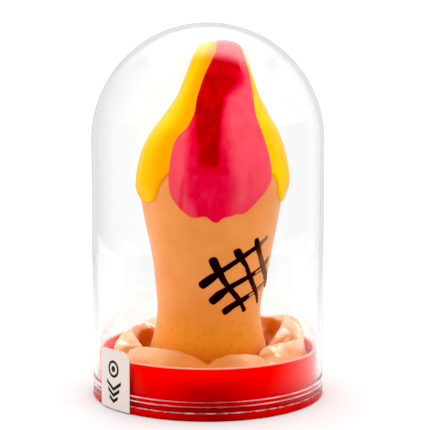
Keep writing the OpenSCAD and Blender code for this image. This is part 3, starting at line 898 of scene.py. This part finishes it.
def add_wadding():
    """Soft filling just inside the latex."""
    sides, gap = 120, 1
    angles = np.arange(sides)[None] * 360 / sides
    rows = np.concatenate([np.arange(2, SKIN_ROWS - 4, 3), [SKIN_ROWS - 2.5]])[:, None]
    lumps = 0.16 * np.sin(7 * np.radians(angles)) * np.sin(rows * 0.23)
    lumps = lumps + 0.1 * np.sin(17 * np.radians(angles) + rows * 0.4)
    points = skin(angles, rows + 0 * angles, lumps - gap).reshape(-1, 3)
    count = len(points)
    ends = np.array([(0, 0, points[:, 2].min()), (PROFILE[-1, 2], 0, points[:, 2].max() + 0.02)])
    faces = grid_faces(len(rows), sides, round_trip=True)
    faces += fan(count, 0, sides, flip=True) + fan(count + 1, count - sides, sides)
    return add_mesh("wadding_fill", np.concatenate([points, ends]), faces)


# ---- Cup, dome and seal ----
def add_cup():
    """Flange, collar, floor and the low ring that centres the figure's foot."""
    lip = COLLAR_WALL / 2
    inner = COLLAR_R - COLLAR_WALL
    flange_h = RIM_Z - 0.05
    recess, floor_z, seat = 0.5, 2.2, 14.3
    outline = [(0, recess), (30, recess)] + arc((30.5, recess), 0.5, 180, 270, 5)
    outline += arc((FLANGE_R - 0.5, 0.5), 0.5, 270, 360, 8)
    outline += arc((FLANGE_R - 0.2, flange_h - 0.2), 0.2, 0, 90, 5)
    outline += arc((COLLAR_R + 0.3, flange_h + 0.3), 0.3, 270, 180, 5)
    snap = [(0, 3.3), (0.2, 3.7), (0.33, 4.1), (0.2, 4.5), (0, 4.9), (0, 7), (0, 9.5), (0, 12), (0, 13.5)]
    outline += [(COLLAR_R + out, z) for out, z in snap]
    outline += arc((COLLAR_R - lip, LIP_Z - lip), lip, 0, 180, 13)
    outline += [(inner, z) for z in (12, 9, 6)] + arc((inner - 0.8, floor_z + 0.8), 0.8, 0, -90, 6)
    outline += [(seat + out, z) for out, z in ((1.3, floor_z), (1.3, 3.2), (1.1, 3.4), (0.2, 3.4), (0, 3.2))]
    outline += [(seat, floor_z), (0, floor_z)]
    return lathe("cup_base", outline, sharp=35)


def add_dome():
    """The clear dome: a rim, two fine beads, a straight wall and a round crown."""
    inner = DOME_R - WALL
    outline = [(0, CROWN_Z + inner)] + arc((0, CROWN_Z), inner, 90, 0, 49)[1:]
    outline += [(inner, z) for z in (60, 45, 30, 15, 8, 5)] + [(inner, RIM_Z + 0.2), (inner + 0.2, RIM_Z)]
    outline += [(DOME_R - 0.2, RIM_Z)] + arc((DOME_R - 0.2, RIM_Z + 0.2), 0.2, -90, 0, 4)[1:]
    outline += [(DOME_R, RIM_Z + 0.35), (DOME_R, RIM_Z + 0.5)]
    bead = [(0, -0.25), (0.05, -0.12), (0.07, 0), (0.05, 0.12), (0, 0.25)]
    outline += [(DOME_R + out, z + up) for z in (4.1, 5.4) for out, up in bead]
    outline += [(DOME_R, z) for z in (7, 10, 15, 30, 45, 60)] + arc((0, CROWN_Z), DOME_R, 0, 90, 49)[:-1]
    outline += [(0, CROWN_Z + DOME_R)]
    piece = lathe("dome_shell", outline, 256, 60)
    place = np.array([v.co for v in piece.data.vertices]) / MM
    r, z = np.hypot(place[:, 0], place[:, 1]), place[:, 2]
    store(piece, "bead", smooth_step(r, DOME_R + 0.01, DOME_R + 0.06))
    store(piece, "rim", (z < RIM_Z + 0.4) & (r > DOME_R - 0.3))
    return piece


# Where the seal's middle line lies round the dome, its width, and the cylinder that it lies on
LABEL_TURN = -49
LABEL_W = 13.8
LABEL_R = DOME_R + BEAD_H + 0.03


def on_label(u, v, lift):
    """Points on the seal: u mm to the right of its middle line and v mm above its lower edge."""
    return around(np.radians(LABEL_TURN) + u / LABEL_R, LABEL_R + lift, LABEL_LOW + v)


def add_label():
    """The paper seal, with round upper corners and edges that lift a little."""
    rows, cols, straight_rows, corner, paper = 60, 40, 30, 3, 0.13
    straight = LABEL_H - corner
    turn = np.linspace(0, math.pi / 2, rows - straight_rows + 1)[1:]
    v = np.concatenate([np.linspace(0, straight, straight_rows), straight + corner * np.sin(turn)])
    past = np.maximum(v - straight, 0)
    half = LABEL_W / 2 - corner + np.sqrt(np.maximum(corner**2 - past**2, 0))
    u = half[:, None] * np.linspace(-1, 1, cols)[None]
    v = v[:, None] + 0 * u
    edge = np.minimum(np.minimum(LABEL_W / 2 - np.abs(u), LABEL_H - v), v)
    curl = 0.06 * np.exp(-np.maximum(edge, 0) / 0.8) + 0.015 * np.sin(u * 0.9) * np.sin(v * 0.7)
    outer = on_label(u, v, paper + curl).reshape(-1, 3)
    inner = on_label(u, v, curl).reshape(-1, 3)
    return add_mesh("seal_label_paper", np.concatenate([outer, inner]), patch_faces(rows, cols), 60)


def add_label_mark():
    """A plain ornament in black: a ring with a dot, and three chevrons under it."""
    middle, stroke, turn = 11.7, 1.05, np.linspace(0, 2 * math.pi, 49)
    strips = []
    for out, into in ((2.5, 1.75), (0.9, 0.05)):
        strips.append([(r * np.cos(turn), middle + r * np.sin(turn)) for r in (out, into)])
    for top, reach in ((8.4, 3.4), (6.2, 2.7), (4, 2)):
        u = np.linspace(-reach, reach, 21)
        v = top - 0.62 * (reach - np.abs(u))
        strips.append([(u, v - stroke), (u, v)])
    points, faces = [], []
    for sides in strips:
        first, (u, v) = sum(len(p) for p in points), np.concatenate(sides, axis=1)
        points += [on_label(u, v, 0.17 + 0 * u), on_label(u, v, 0.145 + 0 * u)]
        faces += [[first + k for k in face] for face in patch_faces(2, len(u) // 2)]
    return add_mesh("seal_label_print", np.concatenate(points), faces, 60)


# ---- Studio ----
def add_camera():
    """300 mm in front of the dome's axis, looking 4.5 degrees down."""
    data = bpy.data.cameras.new("camera")
    data.sensor_width, data.lens = 36, 81.8
    data.clip_start, data.clip_end = 0.01, 20
    camera = bpy.data.objects.new("camera", data)
    camera.location = (0.00215, -0.3, 0.078)
    camera.rotation_euler = (math.pi / 2 - 0.078, 0, 0)
    SCENE.collection.objects.link(camera)
    SCENE.camera = camera


def mirrored_studio(n):
    """What mirrored rays see: white behind, dim in front and overhead, and one bright box up there."""
    seen = n.new("TexCoord").outputs["Generated"]
    flat = n.add("VectorMath", {0: seen, 1: (1, 1, 0)}, operation="MULTIPLY")
    unit = n.add("VectorMath", {0: flat}, operation="NORMALIZE")
    left = n.between(n.part(unit, "X"), -0.7, -0.1, -0.35, 0)
    behind = n.between(n.math("ADD", n.part(unit, "Y"), left), -1, 1, kind="LINEAR")
    stops = (0, 0.06), (0.1, 0.02), (0.46, 0.03), (0.62, 0.33), (0.76, 0.9), (0.97, 0.9)
    levels = n.ramp(behind, *[(place, (level,) * 3) for place, level in stops])
    height = n.part(seen, "Z")
    up = n.math("MAXIMUM", height, 0.05)
    along = n.math("DIVIDE", n.part(seen, "Y"), up)
    aside = n.math("ABSOLUTE", n.math("DIVIDE", n.part(seen, "X"), up))
    near = n.times(n.between(aside, 0.8, 1.3, 1, 0), n.between(along, 0.5, 1.1, 1, 0))
    dark = n.times(near, n.between(height, 0.3, 0.6, 0, 0.9))
    studio = n.add("VectorMath", {0: levels, "Scale": n.math("SUBTRACT", 1, dark)}, operation="SCALE")
    box = n.times(n.between(along, -0.16, 0.16), n.between(along, 1, 1.3, 1, 0))
    box = n.times(box, n.between(aside, 0.5, 0.8, 1, 0), n.between(height, 0.3, 0.5, 0, 2.1))
    return n.add("VectorMath", {0: studio, 1: box}, operation="ADD")


def add_world():
    """White for camera rays and scattered ones, and the studio for mirrored ones."""
    world = bpy.data.worlds.new("studio")
    SCENE.world = world
    world.use_nodes = True
    world.cycles.sampling_method = "NONE"
    world.node_tree.nodes.clear()
    n = Nodes(world.node_tree)
    path = n.new("LightPath").outputs
    bounced = n.math("ADD", path["Glossy Depth"], path["Diffuse Depth"], clamp=True)
    white = n.blend(bounced, (1.24,) * 3, mirrored_studio(n))
    soft = n.blend(path["Is Diffuse Ray"], white, (1.12,) * 3)
    light = n.add("Background", {"Color": soft})
    n.fill(n.new("OutputWorld").inputs["Surface"], light)


def add_softbox(name, place, aim, width, height, level, mirrored=True):
    """A rectangular lamp whose face gives off level times white."""
    data = bpy.data.lights.new(name, "AREA")
    data.shape = "RECTANGLE"
    data.size, data.size_y = width * MM, height * MM
    data.energy = level * math.pi * data.size * data.size_y
    lamp = bpy.data.objects.new(name, data)
    lamp.location = [c * MM for c in place]
    away = np.array(place, float) - np.array(aim, float)
    lamp.rotation_euler = Vector(away).to_track_quat("Z", "Y").to_euler()
    lamp.visible_camera = False
    lamp.visible_transmission = False
    lamp.visible_glossy = mirrored
    SCENE.collection.objects.link(lamp)
    return lamp


def add_lamp_for(piece, name, place, size, level, mirrored):
    """A lamp for one piece alone: either only mirrored in it, for a highlight, or only lighting it softly."""
    lamp = add_softbox(name, place, (0, 0, 15), size, size, level, mirrored)
    lamp.visible_diffuse = not mirrored
    lit = bpy.data.collections.new(name)
    lit.objects.link(piece)
    lamp.light_linking.receiver_collection = lit


def add_floor():
    cells = 12
    across, along = np.linspace(-400, 400, cells + 1), np.linspace(-85, 350, cells + 1)
    points = [(x, y, -0.02) for y in along for x in across]
    floor = add_mesh("floor", points, grid_faces(cells + 1, cells + 1))
    floor.data.materials.append(floor_white())


def set_view():
    """Plain tones, with the deepest shade brought down to black."""
    view = SCENE.view_settings
    view.view_transform = "Standard"
    view.use_curve_mapping = True
    view.curve_mapping.black_level = (0.013, 0.013, 0.013)
    view.curve_mapping.update()


set_view()
add_camera()
add_world()
add_floor()
add_softbox("overhead", (0, 200, 700), (0, 200, 0), 700, 800, 2.6, mirrored=False)
add_softbox("left_side", (-700, 150, 160), (0, 0, 60), 400, 600, 2, mirrored=False)
add_softbox("right_side", (700, 150, 160), (0, 0, 60), 400, 600, 1.8, mirrored=False)

skin_latex = latex("latex_skin", gloss=0.12, rough=0.42, sheen=0.5)
fold_latex = latex("latex_folds", gloss=0.6, rough=0.28, sheen=0.04)

cup = dress(add_cup(), "base", "red_plastic", red_plastic(), "base_cup")
add_lamp_for(cup, "left_fill", (-350, -350, 60), 300, 2.3, mirrored=False)
add_lamp_for(cup, "right_fill", (350, -350, 60), 300, 2.3, mirrored=False)
dress(add_dome(), "dome", "clear_plastic", clear_plastic(), "dome")
dress(add_label(), "dome", "label_paper", label_paper(), "seal_label")
dress(add_label_mark(), "dome", "label_paper", label_ink())
skin_piece = dress(add_sheath(), "figure", "latex", skin_latex, "latex_sheath")
add_lamp_for(skin_piece, "left_wash", (-600, 150, 60), 400, 2, mirrored=False)
folds = dress(add_hem(), "figure", "latex", fold_latex, "gathered_hem")
add_lamp_for(folds, "top_highlight", (85, 56, 690), 200, 29, mirrored=True)
add_lamp_for(folds, "high_highlight", (150, 390, 570), 150, 20, mirrored=True)
add_lamp_for(folds, "low_highlight", (0, 660, 220), 120, 10, mirrored=True)
dress(add_bead(), "figure", "latex", fold_latex, "rolled_bead")
dress(add_pink(), "figure", "pink_paint", pink_paint(), "pink_coat")
dress(add_yellow(), "figure", "yellow_paint", yellow_paint(), "yellow_coat")
dress(add_grid(), "figure", "black_paint", black_paint(), "grid_lines")
wadding = dress(add_wadding(), "figure", "wadding_fibre", wadding_fibre(), "wadding")
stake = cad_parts["inner_stake"]
stake.data.materials.clear()
stake.data.materials.append(stake_board())
